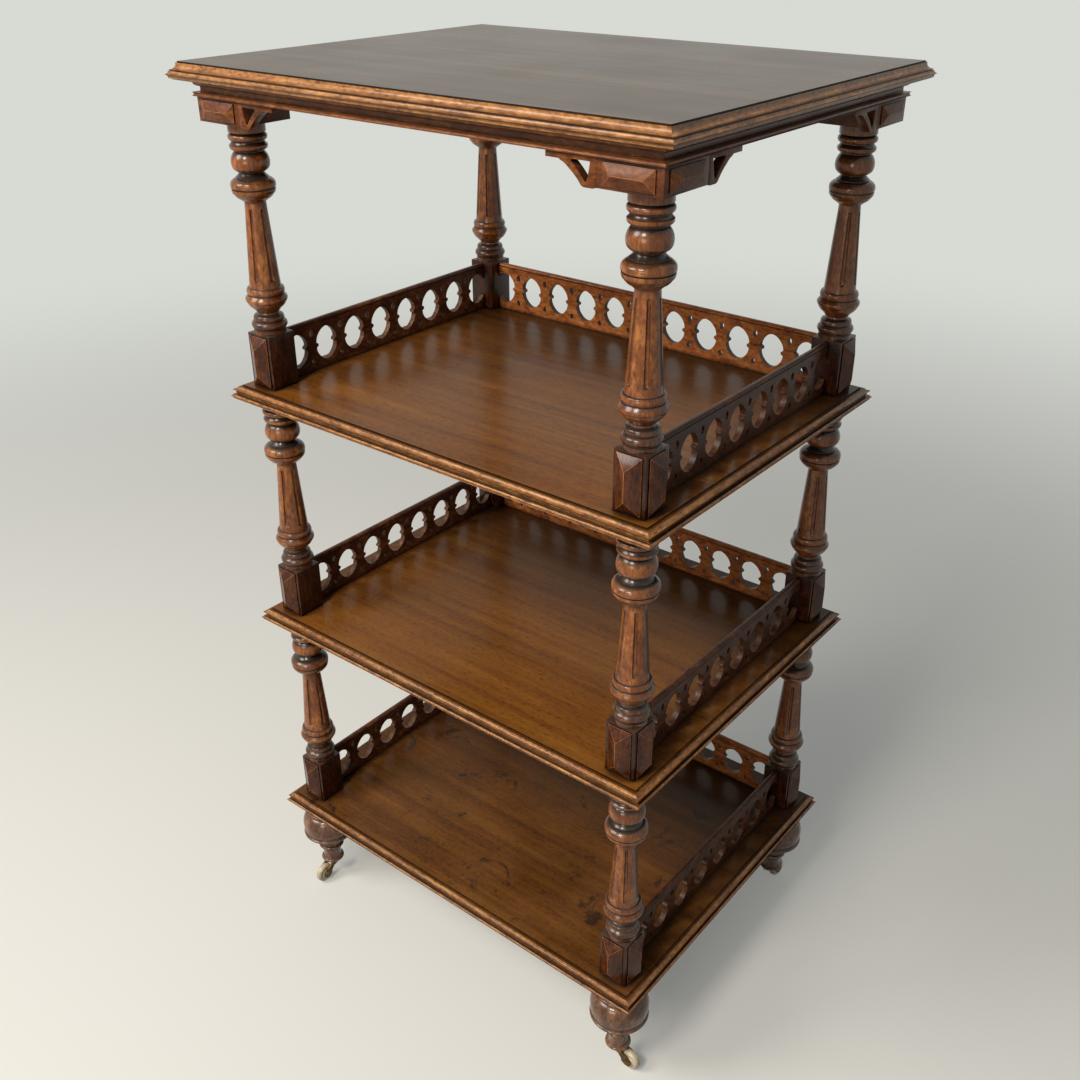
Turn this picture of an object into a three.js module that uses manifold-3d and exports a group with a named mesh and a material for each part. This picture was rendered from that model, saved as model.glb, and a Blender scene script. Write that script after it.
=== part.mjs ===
// Etagere: a moulded top and three galleried shelves on turned columns, turned legs and casters.
// Lengths are millimetres. The origin is on the floor under the middle, +X is the width and the
// open front faces -Y.

import * as THREE from 'three';
import { mergeVertices } from 'three/addons/utils/BufferGeometryUtils.js';
import { ConvexGeometry } from 'three/addons/geometries/ConvexGeometry.js';
import Module from 'manifold-3d';

const wasm = await Module();
wasm.setup();

// Layout
const postSpacingX = 515;
const postSpacingY = 384.5;
const legHeight = 110;
const lowerColumnHeight = 291;
const upperColumnHeight = 295.5;
const fitGap = 0.3;
const cutOverrun = 6;

// Top board and the moulded frame under it
const topThickness = 19;
const topOverhang = 54.6;
const topEdgeDepth = 16.2;
const railHeight = 15;
const railOverhang = 38;
const railEdgeDepth = 8;
const railWidth = 71;

// Shelves
const shelfThickness = 17;
const shelfOverhang = 39;
const shelfEdgeDepth = 11.5;

// Columns: a square plinth, a turned base, a fluted tapering shaft and a turned head
const plinthSide = 36.5;
const plinthHeight = 64;
const plinthStile = 4;
const plinthBar = 2.5;
const plinthPanelRise = 9.5;
const panelLip = 1.5;
const columnBaseHeight = 54;
const columnBaseRadius = 23.4;
const shaftFootRadius = 17.6;
const shaftTopRadius = 11.6;
const columnHeadHeight = 84;
const columnHeadRadius = 24.3;
const columnFacets = 12;
const fluteCount = 6;
const fluteWidth = 4.6;
const fluteDepth = 1.9;
const fluteMargin = 7;
const fluteRun = 4;
const dowelRadius = 7;
const dowelGrip = 20;
const dowelFacets = 8;

// Capital blocks and the pierced brackets beside them
const blockSide = 66;
const blockHeight = 25;
const blockStile = 7.5;
const blockBar = 3;
const blockPanelRise = 5;
const blockGrip = 18;
const bracketLength = 52;
const bracketDrop = 26;
const bracketThickness = 9;

// Galleries: pierced boards between the plinths
const galleryHeight = 62;
const galleryThickness = 7;
const ovalPitch = 45.5;
const ovalWidth = 33;
const ovalHeight = 41;
const ovalCentreHeight = 30;
const upperEyeWidth = 5.5;
const upperEyeHeight = 9;
const upperEyeCentreHeight = 46;
const lowerEyeWidth = 5;
const lowerEyeHeight = 7;
const lowerEyeCentreHeight = 12;

// Legs
const legRadius = 36;
const legFacets = 12;

// Casters
const wheelRadius = 13.5;
const wheelWidth = 9;
const wheelFacets = 16;
const wheelShoulder = 3.2;
const wheelTreadWidth = 5;
const axleRadius = 2;
const axleHeadRadius = 3.4;
const axleHeadHeight = 1.2;
const pinFacets = 8;
const trail = 19;
const hornPlateRadius = 9.5;
const hornPlateThickness = 2.4;
const hornCheekThickness = 2;
const hornSideGap = 0.6;
const hornWheelRoom = 0.3;
const pivotRadius = 3;
const pivotLength = 15;

// Outlines from the bottom up, as [share of the radius or depth, share of the height]
const columnBaseShares = [
  [0.77, 0], [0.87, 0.12], [0.87, 0.22], [0.7, 0.29], [0.69, 0.375], [0.52, 0.43], [0.85, 0.61],
  [1, 0.73], [0.86, 0.83], [0.875, 0.93],
];
const columnHeadShares = [
  [0.88, 0.09], [0.98, 0.16], [1, 0.21], [0.71, 0.305], [0.55, 0.375], [0.845, 0.45], [0.8, 0.525],
  [0.66, 0.63], [0.835, 0.7], [0.72, 0.755], [0.85, 0.81], [0.74, 0.865], [0.82, 0.885], [0.82, 1],
];
const legShares = [
  [0.39, 0], [0.445, 0.03], [0.39, 0.07], [0.347, 0.15], [0.42, 0.225], [0.5, 0.265], [0.472, 0.325],
  [0.61, 0.41], [0.92, 0.49], [1, 0.515], [0.93, 0.555], [0.986, 0.63], [0.965, 0.71], [0.83, 0.82],
  [0.667, 0.915], [0.667, 1],
];
const shelfEdgeShares = [
  [0.52, 0], [0.8, 0.04], [1, 0.15], [1, 0.3], [0.7, 0.4], [0.5, 0.44], [0.56, 0.47], [0.74, 0.56],
  [0.8, 0.7], [0.74, 0.82], [0.56, 0.89], [0.35, 0.91], [0.09, 0.91], [0, 1],
];
const topEdgeShares = [
  [0, 0], [0.68, 0.105], [0.9, 0.17], [1, 0.34], [0.9, 0.49], [0.71, 0.525], [0.71, 0.58], [0.77, 0.6],
  [0.74, 0.72], [0.6, 0.86], [0.33, 0.94], [0.33, 1],
];
const railEdgeShares = [
  [0.8, 0], [1, 0.13], [0.8, 0.27], [0, 0.3], [0, 0.42], [0.2, 0.7], [0.69, 0.97], [0.69, 1],
];

// Outlines of the pierced work, as shares of its length or half width and of its drop or half height
const bracketShares = [
  [0, 0], [0, -0.96], [0.08, -1], [0.19, -1], [0.29, -0.97], [0.53, -0.56], [0.71, -0.26], [0.74, -0.23],
  [1, -0.23], [1, 0],
];
const bracketHoleShares = [
  [0.1, -0.19], [0.19, -0.83], [0.5, -0.21],
];
const ovalShares = [
  [0, -1], [0.68, -0.68], [1, -0.16], [0.74, 0], [1, 0.16], [0.68, 0.68], [0, 1], [-0.68, 0.68],
  [-1, 0.16], [-0.74, 0], [-1, -0.16], [-0.68, -0.68],
];
const eyeShares = [
  [0, -1], [1, -0.2], [0, 1], [-1, -0.2],
];
const hornShares = [
  [-0.45, -0.1], [-0.45, -0.35], [0.35, -0.72], [0.62, -1.2], [0.8, -1.3], [1.05, -1.3], [1.22, -1.12],
  [1.24, -0.88], [0.9, -0.5], [0.45, -0.1],
];

// Places that follow from the sizes
const postX = postSpacingX / 2;
const postY = postSpacingY / 2;
const wheelTop = 2 * wheelRadius;
const wheelDrop = hornPlateThickness + hornWheelRoom + wheelRadius;
const cheekMiddle = wheelWidth / 2 + hornSideGap + hornCheekThickness / 2;
const legBase = wheelTop + hornWheelRoom + hornPlateThickness + fitGap;
const lowerShelfBase = legBase + legHeight;
const lowerShelfTop = lowerShelfBase + shelfThickness;
const middleShelfBase = lowerShelfTop + lowerColumnHeight;
const middleShelfTop = middleShelfBase + shelfThickness;
const upperShelfBase = middleShelfTop + lowerColumnHeight;
const upperShelfTop = upperShelfBase + shelfThickness;
const blockBase = upperShelfTop + upperColumnHeight;
const railBase = blockBase + blockHeight;
const topBase = railBase + railHeight;
const socketRadius = dowelRadius + fitGap;
const dowelReach = shelfThickness + dowelGrip;
const pivotHoleRadius = (pivotRadius + fitGap) / Math.cos(Math.PI / pinFacets);

// Finishes
const polishedWood = { color: 0x70391f, roughness: 0.32, metalness: 0 };
const wornWood = { color: 0x7d5638, roughness: 0.45, metalness: 0 };
const agedBrass = { color: 0x54402a, roughness: 0.5, metalness: 0.8 };
const creamWare = { color: 0xd8cdb4, roughness: 0.3, metalness: 0 };

const alongXAxes = new THREE.Matrix4().makeBasis(
  new THREE.Vector3(0, 1, 0), new THREE.Vector3(0, 0, 1), new THREE.Vector3(1, 0, 0));
const alongYAxes = new THREE.Matrix4().makeBasis(
  new THREE.Vector3(1, 0, 0), new THREE.Vector3(0, 0, 1), new THREE.Vector3(0, -1, 0));

// A closed geometry as a solid that can be joined and cut
function toSolid(geometry) {
  const bare = new THREE.BufferGeometry();
  bare.setAttribute('position', geometry.getAttribute('position').clone());
  bare.setIndex(geometry.index ? geometry.index.clone() : null);
  const welded = mergeVertices(bare);
  const corners = welded.index.array;
  const kept = [];
  for (let i = 0; i < corners.length; i += 3) {
    const [a, b, c] = [corners[i], corners[i + 1], corners[i + 2]];
    if (a !== b && b !== c && c !== a) kept.push(a, b, c);
  }
  return new wasm.Manifold(new wasm.Mesh({
    numProp: 3,
    vertProperties: new Float32Array(welded.getAttribute('position').array),
    triVerts: new Uint32Array(kept),
  }));
}

function toGeometry(solid) {
  const mesh = solid.getMesh();
  const geometry = new THREE.BufferGeometry();
  geometry.setAttribute('position', new THREE.BufferAttribute(mesh.vertProperties, 3));
  geometry.setIndex(new THREE.BufferAttribute(mesh.triVerts, 1));
  geometry.computeVertexNormals();
  return geometry;
}

// An outline table in real sizes, its first number times width and its second times height
function scaled(shares, width, height) {
  return shares.map(([across, up]) => [across * width, up * height]);
}

function lifted(points, rise) {
  return points.map(([across, up]) => [across, up + rise]);
}

// A flat outline drawn out to a length, centred on that length
function extruded(points, length, hole = null) {
  const toVector = ([across, up]) => new THREE.Vector2(across, up);
  const shape = new THREE.Shape(points.map(toVector));
  if (hole) shape.holes.push(new THREE.Path(hole.map(toVector)));
  const geometry = new THREE.ExtrudeGeometry(shape, { depth: length, bevelEnabled: false });
  return geometry.translate(0, 0, -length / 2);
}

function box(width, depth, height, x, y, z) {
  return toSolid(new THREE.BoxGeometry(width, depth, height).translate(x, y, z));
}

// Turned work about a vertical axis, from [radius, height] points that run upwards
function turned(points, facets) {
  const path = points.map(([radius, height]) => new THREE.Vector2(radius, height));
  const lathe = new THREE.LatheGeometry(path, facets);
  return toSolid(lathe.rotateX(Math.PI / 2));
}

function rod(radius, low, high, facets) {
  return turned([[0, low], [radius, low], [radius, high], [0, high]], facets);
}

// A rectangular board with one edge outline, [inset, height] from the bottom up, on all four sides
function mouldedBoard(halfX, halfY, edge) {
  const section = (half) => [
    ...edge.map(([inset, height]) => [half - inset, height]),
    ...edge.toReversed().map(([inset, height]) => [inset - half, height]),
  ];
  const lengthwise = extruded(section(halfY), 2 * halfX).applyMatrix4(alongXAxes);
  const crosswise = extruded(section(halfX), 2 * halfY).applyMatrix4(alongYAxes);
  return toSolid(lengthwise).intersect(toSolid(crosswise));
}

// The edge outline of a board: how far each point stands back from the outermost one
function insetEdge(shares, depth, height) {
  return scaled(shares, depth, height).map(([out, up]) => [depth - out, up]);
}

// A hipped panel planted on a face at reach that looks along the turned +X
function hippedPanel(width, height, rise, ridgeIsUpright, reach, turn, middleHeight) {
  const hip = ridgeIsUpright ? width / 2 : height / 2;
  const corners = [];
  for (const side of [-1, 1]) {
    for (const end of [-1, 1]) {
      corners.push(new THREE.Vector3(-panelLip, side * width / 2, end * height / 2));
      corners.push(new THREE.Vector3(panelLip, side * width / 2, end * height / 2));
    }
    const ridgeEnd = ridgeIsUpright ? [0, side * (height / 2 - hip)] : [side * (width / 2 - hip), 0];
    corners.push(new THREE.Vector3(rise, ...ridgeEnd));
  }
  const roof = new ConvexGeometry(corners);
  return toSolid(roof.translate(reach, 0, middleHeight).rotateZ(turn));
}

const outwardTurns = [Math.PI, -Math.PI / 2];

// One stopped flute, sunk in a shaft that tapers from foot to top, at an angle round the shaft
function fluteCut(footHeight, topHeight, angle) {
  const radiusAt = (height) => shaftFootRadius
    + (shaftTopRadius - shaftFootRadius) * (height - footHeight) / (topHeight - footHeight);
  const low = footHeight + fluteMargin;
  const high = topHeight - fluteMargin;
  const outline = [
    [radiusAt(low) + cutOverrun, low],
    [radiusAt(high) + cutOverrun, high],
    [radiusAt(high), high],
    [radiusAt(high) - fluteDepth, high - fluteRun],
    [radiusAt(low) - fluteDepth, low + fluteRun],
    [radiusAt(low), low],
  ];
  return toSolid(extruded(outline, fluteWidth).applyMatrix4(alongYAxes).rotateZ(angle));
}

// A column standing on a shelf at height zero; its panels face -X and -Y
function column(height, endsInDowel) {
  const shaftFoot = plinthHeight + columnBaseHeight;
  const shaftTop = height - columnHeadHeight;
  const turning = [
    [0, plinthHeight / 2],
    [columnBaseShares[0][0] * columnBaseRadius, plinthHeight / 2],
    ...lifted(scaled(columnBaseShares, columnBaseRadius, columnBaseHeight), plinthHeight),
    [shaftFootRadius, shaftFoot],
    [shaftTopRadius, shaftTop],
    ...lifted(scaled(columnHeadShares, columnHeadRadius, columnHeadHeight), shaftTop),
    [0, height],
  ];
  let solid = turned(turning, columnFacets);
  for (let i = 0; i < fluteCount; i += 1) {
    const angle = 2 * Math.PI * i / fluteCount + Math.PI / columnFacets;
    solid = solid.subtract(fluteCut(shaftFoot, shaftTop, angle));
  }
  solid = solid.add(box(plinthSide, plinthSide, plinthHeight, 0, 0, plinthHeight / 2));
  for (const turn of outwardTurns) {
    solid = solid.add(hippedPanel(plinthSide - 2 * plinthStile, plinthHeight - 2 * plinthBar,
      plinthPanelRise, true, plinthSide / 2, turn, plinthHeight / 2));
  }
  solid = solid.add(rod(dowelRadius, -dowelReach, plinthHeight / 2, dowelFacets));
  if (endsInDowel) {
    return solid.add(rod(dowelRadius, shaftTop, height + blockGrip, dowelFacets));
  }
  return solid.subtract(
    rod(socketRadius, height - dowelGrip - fitGap, height + cutOverrun, dowelFacets));
}

// A capital block from its underside up; its panels face -X and -Y
function capitalBlock() {
  let solid = box(blockSide, blockSide, blockHeight, 0, 0, blockHeight / 2);
  for (const turn of outwardTurns) {
    solid = solid.add(hippedPanel(blockSide - 2 * blockStile, blockHeight - 2 * blockBar,
      blockPanelRise, false, blockSide / 2, turn, blockHeight / 2));
  }
  return solid.subtract(rod(socketRadius, -cutOverrun, blockGrip + fitGap, dowelFacets));
}

// A bracket that runs along +X from a block's side and hangs from height zero
function bracket() {
  const outline = scaled(bracketShares, bracketLength, bracketDrop);
  const hole = scaled(bracketHoleShares, bracketLength, bracketDrop);
  return toSolid(extruded(outline, bracketThickness, hole).applyMatrix4(alongYAxes));
}

// A shelf from its underside up, with a hole for the dowel of each column
function shelf() {
  let solid = mouldedBoard(postX + shelfOverhang, postY + shelfOverhang,
    insetEdge(shelfEdgeShares, shelfEdgeDepth, shelfThickness));
  for (const post of posts) {
    const hole = new THREE.CylinderGeometry(
      socketRadius, socketRadius, shelfThickness + 2 * cutOverrun, dowelFacets);
    solid = solid.subtract(toSolid(
      hole.rotateX(Math.PI / 2).translate(post.x * postX, post.y * postY, shelfThickness / 2)));
  }
  return solid;
}

// An opening through a gallery board, from its outline in shares
function galleryCut(shares, width, height, across, up) {
  const opening = extruded(scaled(shares, width / 2, height / 2), galleryThickness + 2 * cutOverrun);
  return toSolid(opening.applyMatrix4(alongYAxes).translate(across, 0, up));
}

// A gallery board along X, its pointed openings cusped at half height and set off from the middle,
// with a small eye above and below between each two. Where the board's end cuts through an opening,
// the cusp on that side is gone.
function gallery(length, openingOffset) {
  let solid = box(length, galleryThickness, galleryHeight, 0, 0, galleryHeight / 2);
  const reach = Math.ceil(length / ovalPitch);
  for (let i = -reach; i <= reach; i += 1) {
    const middle = openingOffset + i * ovalPitch;
    if (Math.abs(middle) < length / 2) {
      const isWhole = Math.abs(middle) + ovalWidth / 2 < length / 2;
      const shares = ovalShares.filter(([across, up]) => isWhole || up !== 0 || across * middle <= 0);
      solid = solid.subtract(galleryCut(shares, ovalWidth, ovalHeight, middle, ovalCentreHeight));
    }
    const between = middle + ovalPitch / 2;
    if (Math.abs(between) + upperEyeWidth < length / 2) {
      solid = solid.subtract(
        galleryCut(eyeShares, upperEyeWidth, upperEyeHeight, between, upperEyeCentreHeight));
      solid = solid.subtract(
        galleryCut(eyeShares, lowerEyeWidth, lowerEyeHeight, between, lowerEyeCentreHeight));
    }
  }
  return solid;
}

// A leg from its foot up, with a socket for the column's dowel and a hole for the caster's pivot
function leg() {
  const turning = scaled(legShares, legRadius, legHeight);
  const solid = turned([[0, 0], ...turning, [0, legHeight]], legFacets);
  const socket = rod(socketRadius, legHeight - dowelGrip - fitGap, legHeight + cutOverrun, dowelFacets);
  const pivotHole = rod(pivotHoleRadius, -cutOverrun, pivotLength + fitGap, pinFacets);
  return solid.subtract(socket).subtract(pivotHole);
}

// A caster horn that trails along +X from its pivot; height zero is the top of its plate
function horn() {
  const plate = rod(hornPlateRadius, -hornPlateThickness, 0, columnFacets);
  const pivot = rod(pivotRadius, -hornPlateThickness / 2, pivotLength, pinFacets);
  let solid = plate.add(pivot);
  for (const side of [-1, 1]) {
    const cheek = extruded(scaled(hornShares, trail, wheelDrop), hornCheekThickness);
    const eye = new THREE.CylinderGeometry(
      axleRadius + fitGap, axleRadius + fitGap, 2 * hornCheekThickness, pinFacets);
    const cheekSolid = toSolid(cheek.applyMatrix4(alongYAxes).translate(0, side * cheekMiddle, 0));
    const eyeSolid = toSolid(eye.translate(trail, side * cheekMiddle, -wheelDrop));
    solid = solid.add(cheekSolid).subtract(eyeSolid);
  }
  return solid;
}

// A wheel about its own Y axis, resting on the flat of one facet
function wheel() {
  const tread = wheelRadius / Math.cos(Math.PI / wheelFacets);
  const half = wheelWidth / 2;
  const bore = axleRadius + fitGap;
  const section = [
    [bore, -half],
    [tread - wheelShoulder, -half],
    [tread, -wheelTreadWidth / 2],
    [tread, wheelTreadWidth / 2],
    [tread - wheelShoulder, half],
    [bore, half],
    [bore, -half],
  ];
  const path = section.map(([radius, height]) => new THREE.Vector2(radius, height));
  return toSolid(new THREE.LatheGeometry(path, wheelFacets, Math.PI / wheelFacets));
}

function axle() {
  const grip = cheekMiddle + hornCheekThickness / 2;
  const end = grip + axleHeadHeight;
  const section = [
    [0, -end], [axleHeadRadius, -end], [axleHeadRadius, -grip], [axleRadius, -grip],
    [axleRadius, grip], [axleHeadRadius, grip], [axleHeadRadius, end], [0, end],
  ];
  const path = section.map(([radius, height]) => new THREE.Vector2(radius, height));
  return toSolid(new THREE.LatheGeometry(path, pinFacets));
}

// The four posts: the signs of their places, how far their panels turn and where their caster trails
const posts = [
  { name: 'front_left', x: -1, y: -1, turn: 0, trailTurn: -Math.PI / 2 },
  { name: 'front_right', x: 1, y: -1, turn: Math.PI / 2, trailTurn: 0 },
  { name: 'back_right', x: 1, y: 1, turn: Math.PI, trailTurn: Math.PI / 2 },
  { name: 'back_left', x: -1, y: 1, turn: -Math.PI / 2, trailTurn: Math.PI },
];

const etagere = new THREE.Group();

function addPiece(name, solid, finish, x, y, z, turn = 0) {
  const mesh = new THREE.Mesh(toGeometry(solid), new THREE.MeshStandardMaterial(finish));
  mesh.name = name;
  mesh.position.set(x, y, z);
  mesh.rotation.z = turn;
  etagere.add(mesh);
}

// Casters and legs
const hornSolid = horn();
const axleSolid = axle();
const wheelSolid = wheel();
const legSolid = leg();
for (const post of posts) {
  const [x, y] = [post.x * postX, post.y * postY];
  const wheelX = x + trail * Math.cos(post.trailTurn);
  const wheelY = y + trail * Math.sin(post.trailTurn);
  addPiece(`caster_horn_${post.name}`, hornSolid, agedBrass, x, y, legBase - fitGap, post.trailTurn);
  addPiece(`caster_axle_${post.name}`, axleSolid, agedBrass, wheelX, wheelY, wheelRadius, post.trailTurn);
  addPiece(`caster_wheel_${post.name}`, wheelSolid, creamWare, wheelX, wheelY, wheelRadius, post.trailTurn);
  addPiece(`leg_${post.name}`, legSolid, polishedWood, x, y, legBase);
}

// Shelves, each with its columns and its three gallery boards
const lowerColumn = column(lowerColumnHeight, false);
const upperColumn = column(upperColumnHeight, true);
const shelfSolid = shelf();
const backGallery = gallery(postSpacingX - plinthSide - 2 * fitGap, 0);
const sideGallery = gallery(postSpacingY - plinthSide - 2 * fitGap, ovalPitch / 2);
const tiers = [
  { name: 'lower', base: lowerShelfBase, top: lowerShelfTop, columnSolid: lowerColumn },
  { name: 'middle', base: middleShelfBase, top: middleShelfTop, columnSolid: lowerColumn },
  { name: 'upper', base: upperShelfBase, top: upperShelfTop, columnSolid: upperColumn },
];
for (const tier of tiers) {
  addPiece(`shelf_${tier.name}`, shelfSolid, wornWood, 0, 0, tier.base);
  for (const post of posts) {
    addPiece(`column_${tier.name}_${post.name}`, tier.columnSolid, polishedWood,
      post.x * postX, post.y * postY, tier.top, post.turn);
  }
  addPiece(`gallery_${tier.name}_back`, backGallery, polishedWood, 0, postY, tier.top);
  addPiece(`gallery_${tier.name}_left`, sideGallery, polishedWood, -postX, 0, tier.top, Math.PI / 2);
  addPiece(`gallery_${tier.name}_right`, sideGallery, polishedWood, postX, 0, tier.top, Math.PI / 2);
}

// Capital blocks and their brackets
const blockSolid = capitalBlock();
const bracketSolid = bracket();
const toBlockSide = blockSide / 2;
const toBracketMiddle = blockSide / 2 - bracketThickness / 2;
for (const post of posts) {
  const [x, y] = [post.x * postX, post.y * postY];
  addPiece(`capital_block_${post.name}`, blockSolid, polishedWood, x, y, blockBase, post.turn);
  addPiece(`bracket_${post.name}_lengthwise`, bracketSolid, polishedWood,
    x - post.x * toBlockSide, y + post.y * toBracketMiddle, railBase, post.x < 0 ? 0 : Math.PI);
  addPiece(`bracket_${post.name}_crosswise`, bracketSolid, polishedWood,
    x + post.x * toBracketMiddle, y - post.y * toBlockSide, railBase, -post.y * Math.PI / 2);
}

// The frame under the top, mitred at its corners into four rails
const frameX = postX + railOverhang;
const frameY = postY + railOverhang;
const frameSolid = mouldedBoard(frameX, frameY, insetEdge(railEdgeShares, railEdgeDepth, railHeight))
  .subtract(box(2 * (frameX - railWidth), 2 * (frameY - railWidth), railHeight + 2 * cutOverrun,
    0, 0, railHeight / 2));
const mitreShift = fitGap / Math.SQRT2;
const mitreReach = railWidth + cutOverrun;

// The wedge of plan that one rail fills: halfLength and halfDepth are the frame's, seen from that side
function mitreWedge(halfLength, halfDepth, turn) {
  const plan = [
    [-halfLength - cutOverrun, -halfDepth - cutOverrun - mitreShift],
    [halfLength + cutOverrun, -halfDepth - cutOverrun - mitreShift],
    [halfLength - mitreReach, mitreReach - halfDepth - mitreShift],
    [mitreReach - halfLength, mitreReach - halfDepth - mitreShift],
  ];
  return toSolid(extruded(plan, 2 * railHeight + 2 * cutOverrun).rotateZ(turn));
}

addPiece('under_rail_front', frameSolid.intersect(mitreWedge(frameX, frameY, 0)), polishedWood,
  0, 0, railBase);
addPiece('under_rail_right', frameSolid.intersect(mitreWedge(frameY, frameX, Math.PI / 2)), polishedWood,
  0, 0, railBase);
addPiece('under_rail_back', frameSolid.intersect(mitreWedge(frameX, frameY, Math.PI)), polishedWood,
  0, 0, railBase);
addPiece('under_rail_left', frameSolid.intersect(mitreWedge(frameY, frameX, -Math.PI / 2)), polishedWood,
  0, 0, railBase);

// The top
addPiece('top_board', mouldedBoard(postX + topOverhang, postY + topOverhang,
  insetEdge(topEdgeShares, topEdgeDepth, topThickness)), wornWood, 0, 0, topBase);

export default etagere;
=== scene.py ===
# Etagere: a tall stand of three galleried shelves under a moulded top, on turned, fluted columns.
# The stand's own sizes are millimetres, and MM makes them metres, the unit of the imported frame. The
# camera, the room, the lamps and the widths of the glued boards are in metres.
import math
import bmesh
import bpy
from mathutils import Matrix, Vector


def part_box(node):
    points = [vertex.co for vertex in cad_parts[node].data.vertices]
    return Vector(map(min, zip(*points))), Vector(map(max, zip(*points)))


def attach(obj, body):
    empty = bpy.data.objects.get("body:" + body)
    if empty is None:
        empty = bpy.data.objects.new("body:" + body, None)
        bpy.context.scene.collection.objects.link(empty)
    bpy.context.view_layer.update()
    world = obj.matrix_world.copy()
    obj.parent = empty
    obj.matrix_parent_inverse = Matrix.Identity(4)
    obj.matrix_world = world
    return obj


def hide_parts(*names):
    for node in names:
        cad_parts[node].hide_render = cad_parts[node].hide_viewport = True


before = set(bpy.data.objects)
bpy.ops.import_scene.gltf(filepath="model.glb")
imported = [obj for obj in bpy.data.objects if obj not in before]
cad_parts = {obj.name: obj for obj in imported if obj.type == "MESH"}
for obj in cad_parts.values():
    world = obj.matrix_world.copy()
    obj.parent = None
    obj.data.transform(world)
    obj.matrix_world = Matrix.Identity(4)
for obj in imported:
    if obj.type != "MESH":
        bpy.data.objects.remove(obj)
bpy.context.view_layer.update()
MM = 0.001


# The view: a camera a little higher than the top, looking down at the nearest front corner, over a
# plain pale floor. The lens, place and turn are those fitted to the photograph.
FRAME_PIXELS = 1080
FOCAL_PIXELS = 1181.007
LENS_CENTRE = (547.817, 535.996)
SENSOR_WIDTH = 36
CAMERA_PLACE = (0.8013, -1.0132, 1.2818)
CAMERA_YAW = math.radians(128.503)
CAMERA_PITCH = math.radians(28.741)
CAMERA_ROLL = math.radians(-0.109)

ahead = Vector((math.cos(CAMERA_YAW) * math.cos(CAMERA_PITCH),
                math.sin(CAMERA_YAW) * math.cos(CAMERA_PITCH), -math.sin(CAMERA_PITCH)))
level_right = Vector((math.sin(CAMERA_YAW), -math.cos(CAMERA_YAW), 0))
level_up = level_right.cross(ahead)
right = math.cos(CAMERA_ROLL) * level_right + math.sin(CAMERA_ROLL) * level_up
up = math.cos(CAMERA_ROLL) * level_up - math.sin(CAMERA_ROLL) * level_right

camera_data = bpy.data.cameras.new("view_camera")
camera_data.sensor_width = SENSOR_WIDTH
camera_data.lens = SENSOR_WIDTH * FOCAL_PIXELS / FRAME_PIXELS
camera_data.shift_x = (FRAME_PIXELS / 2 - LENS_CENTRE[0]) / FRAME_PIXELS
camera_data.shift_y = (LENS_CENTRE[1] - FRAME_PIXELS / 2) / FRAME_PIXELS
camera = bpy.data.objects.new("view_camera", camera_data)
turn_to_view = Matrix((right, up, -ahead)).transposed().to_4x4()
camera.matrix_world = Matrix.Translation(CAMERA_PLACE) @ turn_to_view
bpy.context.scene.collection.objects.link(camera)
bpy.context.scene.camera = camera
bpy.context.scene.view_settings.view_transform = 'Standard'


def node(tree, kind, inputs=(), **settings):
    """A node of that kind; each input is a socket and its value, or the socket that feeds it."""
    made = tree.nodes.new(kind)
    for name, value in settings.items():
        setattr(made, name, value)
    for socket, value in inputs:
        if isinstance(value, bpy.types.NodeSocket):
            tree.links.new(value, made.inputs[socket])
        else:
            made.inputs[socket].default_value = value
    return made


def colour(code):
    """A colour written as six hexadecimal digits, for a node's socket."""
    channels = [int(code[i:i + 2], 16) / 255 for i in (0, 2, 4)]
    return (*[c / 12.92 if c <= 0.04045 else ((c + 0.055) / 1.055) ** 2.4 for c in channels], 1)


def new_material(name):
    """A material with its tree empty but for the output and its Principled shader."""
    material = bpy.data.materials.new(name)
    material.use_nodes = True
    return material, material.node_tree, material.node_tree.nodes["Principled BSDF"]


# The floor and the light: pale and plain, with a soft window in front of the stand, another at its
# left and a weaker one low down. Far from the stand, the floor fades into the pale room.
FLOOR_COLOUR = "D6D8D6"
FLOOR_UNSEEN = "5C5A58"
FLOOR_GLOW = 0.22
FLOOR_FADE = (1.0, 3.6)
FLOOR_REACH = 30
FLOOR_ROUGHNESS = 0.9
FLOOR_SHINE = 0.1
ROOM_LIGHT = ("EEF0F0", 0.18)
ROOM_SEEN = ("E0E2DC", 0.92)
LAMP_AIM = Vector((0, 0, 0.65))
LAMPS = {
    "front_window": {"place": (0.19, -2.2, 2.65), "width": 0.8, "power": 45, "tint": "FFF3E4"},
    "low_window": {"place": (0.55, -2.6, 1.25), "width": 1.0, "power": 16, "tint": "FFF3E4"},
    "left_window": {"place": (-1.41, -1.94, 2.46), "width": 1.3, "power": 50, "tint": "FFF6EC"},
}


def seen_directly(tree):
    """One where the eye, a reflection or a look through glass meets the surface, or else nought."""
    path = node(tree, "ShaderNodeLightPath")
    seen = path.outputs["Is Camera Ray"]
    for ray in ("Is Glossy Ray", "Is Transmission Ray"):
        seen = node(tree, "ShaderNodeMath", [(0, seen), (1, path.outputs[ray])],
                    operation='MAXIMUM').outputs[0]
    return seen


def plain_glow(tree, kind, tone):
    """What that kind of shader node gives in one colour and strength."""
    return node(tree, kind, [("Color", colour(tone[0])), ("Strength", tone[1])]).outputs[0]


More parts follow.
